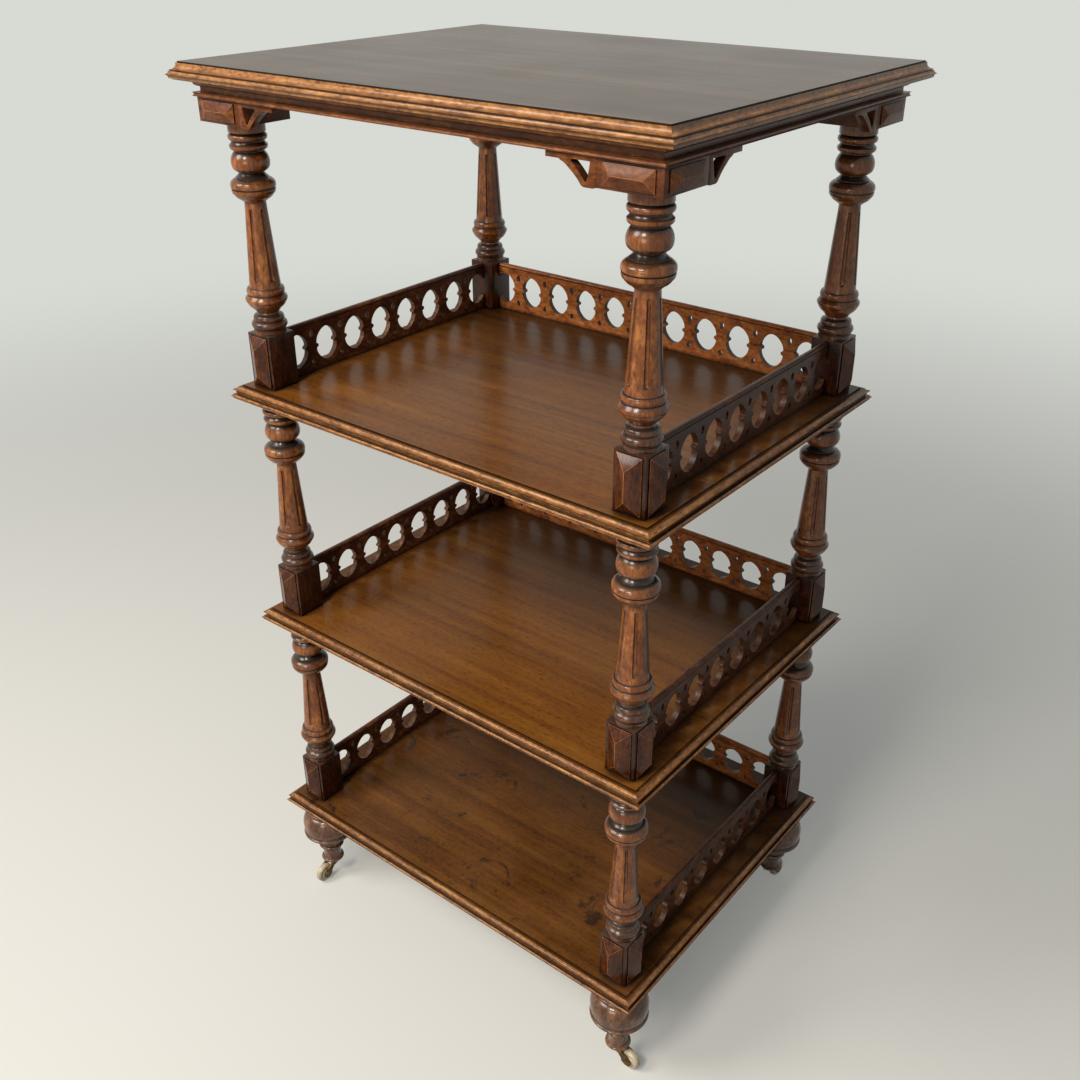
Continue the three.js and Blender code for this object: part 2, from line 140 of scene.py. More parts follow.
floor_mesh = bmesh.new()
bmesh.ops.create_grid(floor_mesh, x_segments=1, y_segments=1, size=FLOOR_REACH)
floor_data = bpy.data.meshes.new("studio_floor")
floor_mesh.to_mesh(floor_data)
floor_mesh.free()
floor = bpy.data.objects.new("studio_floor", floor_data)
bpy.context.scene.collection.objects.link(floor)
floor_material, floor_tree, floor_shader = new_material("pale_floor")
floor_seen = seen_directly(floor_tree)
floor_shader.inputs["Roughness"].default_value = FLOOR_ROUGHNESS
floor_shader.inputs["Specular IOR Level"].default_value = FLOOR_SHINE
floor_shader.inputs["Emission Color"].default_value = colour(ROOM_SEEN[0])
floor_tone = node(floor_tree, "ShaderNodeMix", [
    ("Factor", floor_seen), ("A", colour(FLOOR_UNSEEN)), ("B", colour(FLOOR_COLOUR))],
    data_type='RGBA')
floor_tree.links.new(floor_tone.outputs["Result"], floor_shader.inputs["Base Color"])
glow = node(floor_tree, "ShaderNodeMath", [(0, floor_seen), (1, FLOOR_GLOW)], operation='MULTIPLY')
floor_tree.links.new(glow.outputs[0], floor_shader.inputs["Emission Strength"])
floor_place = node(floor_tree, "ShaderNodeTexCoord").outputs["Object"]
distance = node(floor_tree, "ShaderNodeVectorMath", [(0, floor_place)], operation='LENGTH')
fade = node(floor_tree, "ShaderNodeMapRange", [
    ("Value", distance.outputs["Value"]), ("From Min", FLOOR_FADE[0]), ("From Max", FLOOR_FADE[1])],
    interpolation_type='SMOOTHSTEP')
fade = node(floor_tree, "ShaderNodeMath", [(0, fade.outputs[0]), (1, floor_seen)], operation='MULTIPLY')
far_floor = plain_glow(floor_tree, "ShaderNodeEmission", ROOM_SEEN)
floor_mix = node(floor_tree, "ShaderNodeMixShader", [
    (0, fade.outputs[0]), (1, floor_shader.outputs[0]), (2, far_floor)])
floor_tree.links.new(floor_mix.outputs[0], floor_tree.nodes["Material Output"].inputs["Surface"])
floor_data.materials.append(floor_material)

world = bpy.data.worlds.new("pale_room")
bpy.context.scene.world = world
world.use_nodes = True
room = world.node_tree
room.nodes.clear()
lit, shown = [plain_glow(room, "ShaderNodeBackground", tone) for tone in (ROOM_LIGHT, ROOM_SEEN)]
room_mix = node(room, "ShaderNodeMixShader", [(0, seen_directly(room)), (1, lit), (2, shown)])
node(room, "ShaderNodeOutputWorld", [("Surface", room_mix.outputs[0])])

for name, facts in LAMPS.items():
    lamp = bpy.data.lights.new(name, 'AREA')
    lamp.shape = 'DISK'
    lamp.size = facts["width"]
    lamp.energy = facts["power"]
    lamp.color = colour(facts["tint"])[:3]
    holder = bpy.data.objects.new(name, lamp)
    toward = LAMP_AIM - Vector(facts["place"])
    aimed = toward.to_track_quat('-Z', 'Y').to_matrix().to_4x4()
    holder.matrix_world = Matrix.Translation(facts["place"]) @ aimed
    bpy.context.scene.collection.objects.link(holder)


# Casters: under each leg a cast brass horn, gone dark, that turns on a pin, and a glazed cream wheel
# on a riveted axle between its two curved cheeks.
POSTS = {
    "front_left": {"signs": (-1, -1), "turn": 0, "trail": -90, "flute_turn": -8},
    "front_right": {"signs": (1, -1), "turn": 90, "trail": 0, "flute_turn": 10},
    "back_right": {"signs": (1, 1), "turn": 180, "trail": 90, "flute_turn": 0},
    "back_left": {"signs": (-1, 1), "turn": -90, "trail": 180, "flute_turn": 5},
}
WHEEL_PROFILE = [
    (2.3, -4.5), (5.4, -4.5, 0.3), (6.2, -3.9), (9.6, -3.7), (10.4, -4.2), (12.1, -3.4, 0.5),
    (13.5, -1.6, 0.45), (13.5, 1.6), (12.1, 3.4, 0.45), (10.4, 4.2, 0.5), (9.6, 3.7), (6.2, 3.9),
    (5.4, 4.5), (2.3, 4.5, 0.3), (2.3, -4.5),
]
AXLE_PROFILE = [
    (0, -8.3), (2.2, -8.0, 0.25), (3.4, -7.1, 0.35), (2, -7.05), (2, 7.05), (3.4, 7.1),
    (2.2, 8.0, 0.35), (0, 8.3, 0.25),
]
PIN_PROFILE = [
    (0, -2.4), (8.6, -2.4), (9.5, -1.7, 0.3), (9.5, -0.9), (8.7, -0.25, 0.25), (5.2, 0), (3, 0),
    (3, 14), (2.2, 15), (0, 15),
]
CHEEK_OUTLINE = [
    (-8.6, -1.6), (-8.6, -5), (-6, -7.2, 0.6), (2, -8.6, -0.7), (7.2, -12, -1.2),
    (10.4, -18.2, -1.1), (13, -20.6, 0.6), (18.5, -22.1, 1.2), (23.2, -19.2, 1.3),
    (23.9, -15.2, 0.6), (20.8, -11.4, 0.5), (15.6, -7, 0.7), (8.6, -1.6, -0.6),
]
CHEEK_FACES = (5.1, 7.1)
WHEEL_DROP = 16.2
TRAIL = 19
CHEEK_ARRIS = 0.45
TURNING_STEPS = 96
WHEEL_STEPS = 64
PIN_STEPS = 48
AXLE_STEPS = 32
MERGE_REACH = 0.001
BRASS_TONES = [(0.36, "2A2118"), (0.68, "8A6A3C")]
BRASS_BLOTCHES = 160
BRASS_ROUGHNESS = (0.62, 0.36)
BRASS_METAL = 0.85
WARE_TONES = [(0.3, "B9A684"), (0.62, "E2D8C0")]
WARE_CLOUDS = 120
WARE_ROUGHNESS = 0.22
CRAZING_SCALE = 900
CRAZING_WIDTH = 0.05
CRAZING_SHADE = 0.72


def curved(points, pieces=6):
    """The path through points. A third number is how far the path there bows out, to its right."""
    path = [Vector((points[0][0], 0, points[0][1]))]
    for point in points[1:]:
        start, end = path[-1], Vector((point[0], 0, point[1]))
        bow = point[2] if len(point) > 2 else 0
        if bow:
            chord = end - start
            out = Vector((chord.z, 0, -chord.x)).normalized()
            half = 2 * math.atan2(2 * abs(bow), chord.length)
            radius = chord.length / 2 / math.sin(half)
            middle = (start + end) / 2
            for i in range(1, pieces):
                angle = half * (2 * i / pieces - 1)
                rise = radius * (math.cos(angle) - math.cos(half))
                along = chord.normalized() * radius * math.sin(angle)
                path.append(middle + along + out * math.copysign(rise, bow))
        path.append(end)
    return path


def turn_on_lathe(bm, profile, steps=TURNING_STEPS):
    """Adds turned work about the Z axis, from a path in the XZ plane."""
    corners = [bm.verts.new(point) for point in profile]
    edges = [bm.edges.new(pair) for pair in zip(corners, corners[1:])]
    bmesh.ops.spin(bm, geom=corners + edges, cent=(0, 0, 0), axis=(0, 0, 1), angle=math.tau,
                   steps=steps, use_merge=True)


def cut_out(bm, outline, holes=(), thickness=1):
    """Adds a sawn board: an outline in the XZ plane with holes through it, centred on Y."""
    rim = []
    for path in [outline, *holes]:
        corners = [bm.verts.new((point.x, -thickness / 2, point.z)) for point in path]
        rim += [bm.edges.new(pair) for pair in zip(corners, corners[1:] + corners[:1])]
    filled = bmesh.ops.triangle_fill(bm, use_beauty=True, edges=rim)
    faces = [part for part in filled["geom"] if isinstance(part, bmesh.types.BMFace)]
    raised = bmesh.ops.extrude_face_region(bm, geom=faces, use_keep_orig=True)
    moved = [part for part in raised["geom"] if isinstance(part, bmesh.types.BMVert)]
    bmesh.ops.translate(bm, verts=moved, vec=(0, thickness, 0))


def soften(bm, width, sharper_than=40, segments=2):
    """Rounds the edges that are sharper than that many degrees."""
    bmesh.ops.remove_doubles(bm, verts=bm.verts, dist=MERGE_REACH)
    bmesh.ops.recalc_face_normals(bm, faces=bm.faces)
    crisp = [edge for edge in bm.edges
             if len(edge.link_faces) == 2 and edge.calc_face_angle() > math.radians(sharper_than)]
    bmesh.ops.bevel(bm, geom=crisp, offset=width, segments=segments, profile=0.5,
                    affect='EDGES', material=-1, clamp_overlap=True)


def to_shape(bm):
    """The finished bmesh as a mesh in metres, its faces outwards, and the bmesh freed."""
    bmesh.ops.remove_doubles(bm, verts=bm.verts, dist=MERGE_REACH)
    bmesh.ops.recalc_face_normals(bm, faces=bm.faces)
    shape = bpy.data.meshes.new("shape")
    bm.to_mesh(shape)
    bm.free()
    shape.transform(Matrix.Scale(MM, 4))
    return shape


def place_piece(name, shape, place, materials, body="root", crease=32):
    """Sets a piece at its place on the stand, instead of the CAD node of the same name."""
    mesh = shape.copy()
    mesh.name = f"finished_{name}"
    mesh.transform(place)
    mesh.shade_smooth()
    mesh.set_sharp_from_angle(angle=math.radians(crease))
    for material in materials:
        mesh.materials.append(material)
    piece = bpy.data.objects.new(f"finished_{name}", mesh)
    bpy.context.scene.collection.objects.link(piece)
    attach(piece, body)
    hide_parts(name)


def upright_turn(degrees):
    """A turn about the upright axis."""
    return Matrix.Rotation(math.radians(degrees), 4, 'Z')


def noise(tree, where, scale, detail, roughness=0.5, distortion=0):
    """A cloudy pattern over the place, from nought to one."""
    return node(tree, "ShaderNodeTexNoise", [
        ("Vector", where), ("Scale", scale), ("Detail", detail), ("Roughness", roughness),
        ("Distortion", distortion)]).outputs["Fac"]


def span(tree, value, low, high, first, last):
    """That value, brought from the range low to high into the range first to last."""
    return node(tree, "ShaderNodeMapRange", [
        ("Value", value), ("From Min", low), ("From Max", high), ("To Min", first),
        ("To Max", last)]).outputs[0]


def blended(tree, share, first, second, how='MIX'):
    """The first colour with a share of the second laid over it."""
    return node(tree, "ShaderNodeMix", [("Factor", share), ("A", first), ("B", second)],
                data_type='RGBA', blend_type=how).outputs["Result"]


def toned(tree, value, stops):
    """The colour that a value picks between stops, each one a value and its colour."""
    made = node(tree, "ShaderNodeValToRGB", [("Fac", value)])
    elements = made.color_ramp.elements
    first, *middle, last = stops
    for element, (position, code) in ((elements[0], first), (elements[1], last)):
        element.position = position
        element.color = colour(code)
    for position, code in middle:
        elements.new(position).color = colour(code)
    return made.outputs["Color"]


def aged_brass():
    """Brass gone brown, smoother and brighter where it rubs."""
    material, tree, shader = new_material("aged_brass")
    where = node(tree, "ShaderNodeTexCoord").outputs["Object"]
    blotches = noise(tree, where, BRASS_BLOTCHES, detail=5)
    tree.links.new(toned(tree, blotches, BRASS_TONES), shader.inputs["Base Color"])
    tree.links.new(span(tree, blotches, 0, 1, *BRASS_ROUGHNESS), shader.inputs["Roughness"])
    shader.inputs["Metallic"].default_value = BRASS_METAL
    return material


def cream_ware():
    """Glazed cream ware, fine-crazed and a little stained."""
    material, tree, shader = new_material("cream_ware")
    where = node(tree, "ShaderNodeTexCoord").outputs["Object"]
    glaze = toned(tree, noise(tree, where, WARE_CLOUDS, detail=4), WARE_TONES)
    crazing = node(tree, "ShaderNodeTexVoronoi", [("Vector", where), ("Scale", CRAZING_SCALE)],
                   feature='DISTANCE_TO_EDGE').outputs["Distance"]
    cracks = span(tree, crazing, 0, CRAZING_WIDTH, CRAZING_SHADE, 1)
    tree.links.new(blended(tree, 1, glaze, cracks, 'MULTIPLY'), shader.inputs["Base Color"])
    shader.inputs["Roughness"].default_value = WARE_ROUGHNESS
    return material


horn = bmesh.new()
cut_out(horn, curved(CHEEK_OUTLINE, pieces=4), thickness=CHEEK_FACES[1] - CHEEK_FACES[0])
soften(horn, CHEEK_ARRIS)
bmesh.ops.translate(horn, verts=horn.verts, vec=(0, sum(CHEEK_FACES) / 2, 0))
bmesh.ops.mirror(horn, geom=horn.verts[:] + horn.edges[:] + horn.faces[:], axis='Y', merge_dist=0)
turn_on_lathe(horn, curved(PIN_PROFILE, pieces=3), PIN_STEPS)
horn_shape = to_shape(horn)
axle = bmesh.new()
turn_on_lathe(axle, curved(AXLE_PROFILE, pieces=4), AXLE_STEPS)
bmesh.ops.rotate(axle, verts=axle.verts, matrix=Matrix.Rotation(math.pi / 2, 3, 'X'))
axle_shape = to_shape(axle)
wheel = bmesh.new()
turn_on_lathe(wheel, curved(WHEEL_PROFILE, pieces=4), WHEEL_STEPS)
bmesh.ops.rotate(wheel, verts=wheel.verts, matrix=Matrix.Rotation(math.pi / 2, 3, 'X'))
wheel_shape = to_shape(wheel)
brass = aged_brass()
ware = cream_ware()
for post, facts in POSTS.items():
    wheel_low, wheel_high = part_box(f"caster_wheel_{post}")
    middle = (wheel_low + wheel_high) / 2
    heading = upright_turn(facts["trail"])
    back = heading @ Vector((-TRAIL * MM, 0, WHEEL_DROP * MM))
    place_piece(f"caster_horn_{post}", horn_shape, Matrix.Translation(middle + back) @ heading,
                [brass], f"caster_{post}")
    place_piece(f"caster_axle_{post}", axle_shape, Matrix.Translation(middle) @ heading,
                [brass], f"caster_{post}")
    place_piece(f"caster_wheel_{post}", wheel_shape, Matrix.Translation(middle) @ heading,
                [ware], f"wheel_{post}")


# Legs: turned from solid walnut and polished: a bulb, a sharp ring, then a cove and a ringed foot.
# A socket in the head takes the column's dowel, and a hole in the foot takes the caster's pin.
LEG_PROFILE = [
    (0, 15.3), (3.6, 15.3), (3.6, 0), (13.4, 0), (14, 0.8), (14, 1.6), (14, 5.6, 2), (12.9, 6.3),
    (12.5, 13, -0.2), (13.4, 19.5, -0.2), (15.4, 25.2, -0.5), (15.4, 26.6), (15.4, 31.6, 2.5),
    (15.9, 32.6), (17, 36, -0.4), (24, 49.5, -2.2), (34.4, 55.6, -1.6), (35.6, 56.1),
    (36, 57.4, 0.2), (35.6, 58.7, 0.2), (33.6, 59.5), (33.2, 60.4), (33.9, 61.3), (35.5, 70, 0.7),
    (29.6, 89.6, 2.4), (27.6, 90.8), (27.2, 92), (27.9, 92.8), (27.6, 96, 0.9), (25.3, 97.3),
    (24, 100.4, -0.5), (24, 110), (7.3, 110), (7.3, 89.7), (0, 89.7),
]
SCUFFED_TONES = ("42261A", "6E482F", "9E7450")
LEDGE_GRIME_AND_SHADE_COLOUR = "1C110E"
WORN_RIDGE = "B88852"
DUST_COLOUR = "857C72"
RAW_WOOD = "6E5138"
FIBRES_ALONG = {'X': (0.04, 1, 1), 'Y': (1, 0.04, 1), 'Z': (1, 1, 0.04)}
MOTTLE_ALONG = {'X': (0.45, 1, 1), 'Y': (1, 0.45, 1), 'Z': (1, 1, 0.45)}
SHADED_DEPTH = (-0.16, 0.17)
# Where the polish reads its patterns: the low and the high value, and for some what they become.
TONE_STOPS = (0.33, 0.5, 0.67)
MOTTLE_SCALE = 320
FLECKS = (0.33, 0.42, 0.7, 1)
FIBRE_SCALE = 620
STREAKS = (0.35, 0.65, 0.86, 1.08)
PATCH_SCALE = 11
PATCHES = (0.3, 0.7)
SPOT_SCALE = 19
SPOT_EDGE = (0.6, 0.66)
INK_COLOUR = "1A100C"
RIDGES = (0.52, 0.58)
WORN_PATCHES = (0.4, 0.6, 0.1, 1)
RECESS_SHADE = (0.4, 0.92)
LEDGES = (0.12, 0.5)
LEDGE_CORNERS = (0.97, 0.8, 0.3, 1)
FACING_UP = (0.55, 0.98)
FACING_DOWN = (-0.9, -0.98)
DUST_BY_HEIGHT = (0, 0.9, 1, 0.5)
DUST_PATCHES = (0.25, 0.75)
DUST_CLOUDS = 3
DUST_ROUGHNESS = 0.4
RAW_ROUGHNESS = 0.5
FIRST_JOINT = 0.42
JOINT_LINE = (0.4, 0.9)
JOINT_SHADE = 0.5
BOARD_SHADES = (0.82, 1.12)
GRAIN_STRENGTH = 0.12
GRAIN_DEPTH = 0.3
COAT_ROUGHNESS = 0.1
TURNED_CREASE = 28


def product(tree, first, *others):
    """The factors multiplied together."""
    for other in others:
        first = node(tree, "ShaderNodeMath", [(0, first), (1, other)], operation='MULTIPLY').outputs[0]
    return first


def foot_of(name):
    """The middle of the underside of that CAD node."""
    low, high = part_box(name)
    return Vector(((low.x + high.x) / 2, (low.y + high.y) / 2, low.z))


def sum_of_product(tree, first, second, addend):
    """The first value times the second, and the addend added, kept between nought and one."""
    return node(tree, "ShaderNodeMath", [(0, first), (1, second), (2, addend)],
                operation='MULTIPLY_ADD', use_clamp=True).outputs[0]


def glued_boards(tree, wood, across, pitch):
    """The wood as boards of that width, each of its own tone, with a dark line at each joint."""
    counted = node(tree, "ShaderNodeMath", [(0, across), (1, 1 / pitch), (2, FIRST_JOINT)],
                   operation='MULTIPLY_ADD').outputs[0]
    board = node(tree, "ShaderNodeMath", [(0, counted)], operation='FLOOR').outputs[0]
    chance = node(tree, "ShaderNodeTexWhiteNoise", [("W", board)], noise_dimensions='1D')
    own_shade = span(tree, chance.outputs["Value"], 0, 1, *BOARD_SHADES)
    wood = blended(tree, 1, wood, own_shade, 'MULTIPLY')
    inside = node(tree, "ShaderNodeMath", [(0, counted)], operation='FRACT').outputs[0]
    off_joint = node(tree, "ShaderNodeMath", [(0, inside), (1, 0), (2, 0.5)], operation='PINGPONG')
    edges = [half * MM / pitch for half in JOINT_LINE]
    line = span(tree, off_joint.outputs[0], *edges, JOINT_SHADE, 1)
    return blended(tree, 1, wood, line, 'MULTIPLY')


def polished_wood(name, grain, deep, body, bright, gloss=0.24, shine=0.28, coat=0.05,
                  figure_scale=75, mottle_share=0.5, long_figure=False, cloudiness=0.1, dust=0.2,
                  recess_shade=0.95, recess_shade_reach=6, ledge_grime_and_shade=0, wear=0, joint_pitch=0, painted_back_shade=0,
                  stains=0, raw_below=0):
    """French-polished walnut, its grain along an axis: worn on its ridges and dusty on top, with
    painted shade darkening its recesses, and grime and painted shade darkening its upward ledges. A
    joint pitch gives glued-up boards of that width, a painted back shade leaves them darker away from
    the open front where the boards above shade them, stains give ink spots, and raw below leaves the
    underside unpolished."""
    material, tree, shader = new_material(name)
    coordinates = node(tree, "ShaderNodeTexCoord").outputs["Object"]
    place = node(tree, "ShaderNodeSeparateXYZ", [(0, coordinates)]).outputs
    geometry = node(tree, "ShaderNodeNewGeometry").outputs
    upward = node(tree, "ShaderNodeSeparateXYZ", [(0, geometry["Normal"])]).outputs["Z"]
    open_sky = node(tree, "ShaderNodeAmbientOcclusion", [("Distance", recess_shade_reach * MM)],
                    samples=8).outputs["AO"]
    along, mottled = [
        node(tree, "ShaderNodeMapping", [("Vector", coordinates), ("Scale", scales[grain])]).outputs[0]
        for scales in (FIBRES_ALONG, MOTTLE_ALONG)]
    figure = noise(tree, along if long_figure else mottled, figure_scale, detail=4, distortion=0.6)
    mottle = noise(tree, mottled, MOTTLE_SCALE, detail=4, roughness=0.62)
    fibres = noise(tree, along, FIBRE_SCALE, detail=3, roughness=0.6)
    patches = noise(tree, coordinates, PATCH_SCALE, detail=3)
    tone = node(tree, "ShaderNodeMix", [("Factor", mottle_share), ("A", figure), ("B", mottle)])
    wood = toned(tree, tone.outputs["Result"], zip(TONE_STOPS, (deep, body, bright)))
    clouds = span(tree, patches, *PATCHES, 1 - cloudiness, 1 + cloudiness)
    shade = product(tree, span(tree, mottle, *FLECKS), span(tree, fibres, *STREAKS), clouds)
    wood = blended(tree, 1, wood, shade, 'MULTIPLY')
    if joint_pitch:
        wood = glued_boards(tree, wood, place['Y' if grain == 'X' else 'X'], joint_pitch)
    # Painted shade: darker towards the back, where the shelf or top above shades the boards.
    if painted_back_shade:
        darker = span(tree, place["Y"], *SHADED_DEPTH, 1, 1 - painted_back_shade)
        wood = blended(tree, 1, wood, darker, 'MULTIPLY')
    if stains:
        spots = noise(tree, coordinates, SPOT_SCALE, detail=5, roughness=0.7, distortion=0.7)
        spotted = product(tree, span(tree, spots, *SPOT_EDGE, 0, 1), stains)
        wood = blended(tree, spotted, wood, colour(INK_COLOUR))
    if wear:
        ridges = span(tree, geometry["Pointiness"], *RIDGES, 0, 1)
        rubbed = product(tree, ridges, span(tree, mottle, *WORN_PATCHES), wear)
        wood = blended(tree, rubbed, wood, colour(WORN_RIDGE))
    # Painted shade: the colour is darkened where nearby parts hem the surface in, in recesses, flutes
    # and necks.
    wood = blended(tree, 1, wood, span(tree, open_sky, *RECESS_SHADE, 1 - recess_shade, 1), 'MULTIPLY')
    # Grime and painted shade: surfaces that face up are darkened towards near-black, most of all in
    # hollows.
    if ledge_grime_and_shade:
        ledges = product(tree, span(tree, upward, *LEDGES, 0, 1),
                         span(tree, open_sky, *LEDGE_CORNERS), ledge_grime_and_shade)
        wood = blended(tree, ledges, wood, colour(LEDGE_GRIME_AND_SHADE_COLOUR))
    uneven = DUST_CLOUDS * cloudiness
    film = product(tree, span(tree, upward, *FACING_UP, 0, 1),
                   span(tree, place["Z"], *DUST_BY_HEIGHT),
                   span(tree, patches, *DUST_PATCHES, 1 - uneven, 1 + uneven), dust)
    wood = blended(tree, film, wood, colour(DUST_COLOUR))
    rough = sum_of_product(tree, film, DUST_ROUGHNESS,
                           span(tree, patches, *PATCHES, gloss, gloss + cloudiness))
    if raw_below:
        raw = product(tree, span(tree, upward, *FACING_DOWN, 0, 1), raw_below)
        wood = blended(tree, raw, wood, blended(tree, 1, colour(RAW_WOOD), shade, 'MULTIPLY'))
        rough = sum_of_product(tree, raw, RAW_ROUGHNESS, rough)
    grain_relief = node(tree, "ShaderNodeBump", [
        ("Strength", GRAIN_STRENGTH), ("Distance", GRAIN_DEPTH * MM), ("Height", fibres)])
    tree.links.new(wood, shader.inputs["Base Color"])
    tree.links.new(rough, shader.inputs["Roughness"])
    tree.links.new(grain_relief.outputs[0], shader.inputs["Normal"])
    shader.inputs["Specular IOR Level"].default_value = shine
    shader.inputs["Coat Weight"].default_value = coat
    shader.inputs["Coat Roughness"].default_value = COAT_ROUGHNESS
    return material


scuffed_polish = polished_wood("scuffed_polish", 'Z', *SCUFFED_TONES, gloss=0.2, coat=0.5, dust=0.15,
                               wear=0.5)
leg = bmesh.new()
turn_on_lathe(leg, curved(LEG_PROFILE, pieces=7))
leg_shape = to_shape(leg)
for post in POSTS:
    place_piece(f"leg_{post}", leg_shape, Matrix.Translation(foot_of(f"leg_{post}")), [scuffed_polish],
                crease=TURNED_CREASE)


# Columns: each is one walnut turning with a dowel at its foot, left square below for the plinth, and
# darkest at its foot. Hipped panels are planted on the two outward faces of the plinth, and six
# stopped flutes run up the shaft.
TIERS = ("lower", "middle", "upper")
TURNED_TONES = ("5A3014", "864C22", "B87A3E")
PLINTH_TONES = ("180B06", "38190D", "573018")
PANEL_TONES = ("220F07", "46220F", "6C3B1A")
BASE_TONES = ("361A0C", "5C3218", "90602F")
RUBBED_TONES = ("7A4826", "A86A36", "CC8E52")
PLINTH_SIDE = 36.5
PLINTH_HEIGHT = 64
PLINTH_PANEL = (28.5, 59, 9.5)
PANEL_LIP = 1.5
PANEL_SHADOW = 0.7
PANEL_ROOT = -1
RIDGE_WIDTH = 0.3
RUBBED_WIDTH = 0.8
BLOCK_ARRIS = 0.5
PANEL_FINISH = 1
RUBBED_FINISH = 2
PLINTH_FINISH = 3
BASE_FINISH = 4
BASE_HEIGHT = 54
DARK_BASE = 23
HEAD_HEIGHT = 84
SHAFT_FOOT = 17.6
SHAFT_TOP = 11.6
DOWEL_RADIUS = 7
DOWEL_REACH = 37
DOWEL_CHAMFER = 1
CORE_RADIUS = 7.5
SOCKET_RADIUS = 7.3
SOCKET_DEPTH = 20.3
BLOCK_GRIP = 18
BASE_PROFILE = [
    (7, -4), (16, -4), (18.2, -0.2), (18.2, 4.4), (17.3, 4.9), (17.3, 5.6), (17.2, 14.4, 3),
    (16.4, 15.1), (16.4, 15.8), (17.4, 16.2), (16.4, 20.4, 0.3), (15.6, 21), (12.5, 22.6, -0.2),
    (12.2, 24.4), (16, 28.8, 0.2), (22.6, 37.2, 0.9), (23.4, 38.8, 0.2), (23.3, 41.2, 0.2),
    (20.7, 44.6), (19.7, 45), (19.7, 45.8), (20.6, 46.2), (20.5, 51.6, 0.7), (19, 52.8, 0.3),
    (17.8, 53), (17.6, 54),
]
HEAD_PROFILE = [
    (15, -81.4, 0.3), (21.4, -76, 0.7), (23.7, -71.8, 0.5), (23.7, -70.2), (22.2, -69.8),
    (22.2, -69), (23.9, -68.7), (24.2, -66.6, 0.2), (21.8, -61, 0.9), (18.2, -59, 0.3),
    (16.7, -58.7), (16.7, -58), (17.6, -57.6), (13.9, -53.8, -0.3), (13.4, -53), (13.7, -52.2),
    (20.4, -45.6, 1.5), (16.4, -31.4, 1.8), (15.6, -30.9), (15.6, -30.3), (17, -29.8),
    (19, -28.6, 0.2), (20.3, -25.8, 0.4), (20.3, -24.4), (17.7, -21.2, -0.2), (17, -20.9),
    (17, -20.2), (18, -19.9), (18, -12.2, 2.9), (17.2, -11.8), (17.2, -11.1), (19.9, -10.8),
    (20, 0),
]
FLUTES = 6
FLUTE_HALF_ANGLE = math.radians(8.6)
FLUTE_DEPTH = 2.1
FLUTE_MARGIN = 7
FLUTE_RUN = 5
FLUTE_STEPS = 12
FLUTE_END = (0, 1, 2.2, 3.5, 5, 7)
SHAFT_PARTS = 8


def add_in(bm, part):
    """Adds a finished bmesh to another, and frees it."""
    mesh = bpy.data.meshes.new("part")
    part.to_mesh(mesh)
    part.free()
    bm.from_mesh(mesh)
    bpy.data.meshes.remove(mesh)


def square_block(side, height):
    """A block with softened arrises, standing on its square foot."""
    bm = bmesh.new()
    cube = bmesh.ops.create_cube(bm, size=1)["verts"]
    bmesh.ops.scale(bm, verts=cube, vec=(side, side, height))
    bmesh.ops.translate(bm, verts=cube, vec=(0, 0, height / 2))
    soften(bm, BLOCK_ARRIS)
    return bm


def plant_panels(bm, width, length, rise, side, height):
    """Plants a hipped panel on the faces of a block, of that side and height, towards -X and -Y."""
    for turn in (180, -90):
        panel = bmesh.new()
        for lap, near, far in ((PANEL_SHADOW, PANEL_ROOT, PANEL_SHADOW),
                               (0, PANEL_SHADOW, PANEL_LIP)):
            made = bmesh.ops.create_cube(panel, size=1)["verts"]
            bmesh.ops.scale(panel, verts=made, vec=(far - near, width - 2 * lap, length - 2 * lap))
            bmesh.ops.translate(panel, verts=made, vec=((far + near) / 2, 0, 0))
        for face in panel.faces:
            face.material_index = PANEL_FINISH
        front = max(panel.faces, key=lambda face: face.calc_center_median().x)
        bmesh.ops.inset_individual(panel, faces=[front], use_even_offset=True,
                                   thickness=min(width, length) / 2 - RIDGE_WIDTH / 2)
        for v in front.verts:
            v.co.x = rise
        rubbed = [edge for edge in panel.edges
                  if all(v.co.x > PANEL_LIP - MERGE_REACH for v in edge.verts)]
        rounded = bmesh.ops.bevel(panel, geom=rubbed, offset=RUBBED_WIDTH, segments=2, profile=0.5,
                                  affect='EDGES', material=-1, clamp_overlap=True)
        for face in rounded["faces"]:
            face.material_index = RUBBED_FINISH
        place = upright_turn(turn) @ Matrix.Translation((side / 2, 0, height / 2))
        bmesh.ops.transform(panel, matrix=place, verts=panel.verts)
        add_in(bm, panel)


def cut_flutes(bm, foot, top):
    """Sinks the stopped flutes in the shaft between two heights, and brings the facets in to them."""
    pitch = math.tau / FLUTES
    for v in bm.verts:
        radius = math.hypot(v.co.x, v.co.y)
        if radius < CORE_RADIUS:
            continue
        angle = math.atan2(v.co.y, v.co.x)
        nearest = round(angle / pitch) * pitch
        share = (angle - nearest) / (pitch / 2)
        if abs(share) <= 0.5:
            offset = share * 2 * FLUTE_HALF_ANGLE
        else:
            ridge = pitch - 2 * FLUTE_HALF_ANGLE
            offset = math.copysign(FLUTE_HALF_ANGLE + (abs(share) - 0.5) * ridge, share)
        low = v.co.z - foot - FLUTE_MARGIN
        high = top - FLUTE_MARGIN - v.co.z
        if min(low, high) > 0 and abs(share) < 0.5:
            run = min(1, min(low, high) / FLUTE_RUN)
            radius -= FLUTE_DEPTH * math.sqrt(1 - (1 - run) ** 2) * math.sqrt(1 - (2 * share) ** 2)
        v.co.x = radius * math.cos(nearest + offset)
        v.co.y = radius * math.sin(nearest + offset)


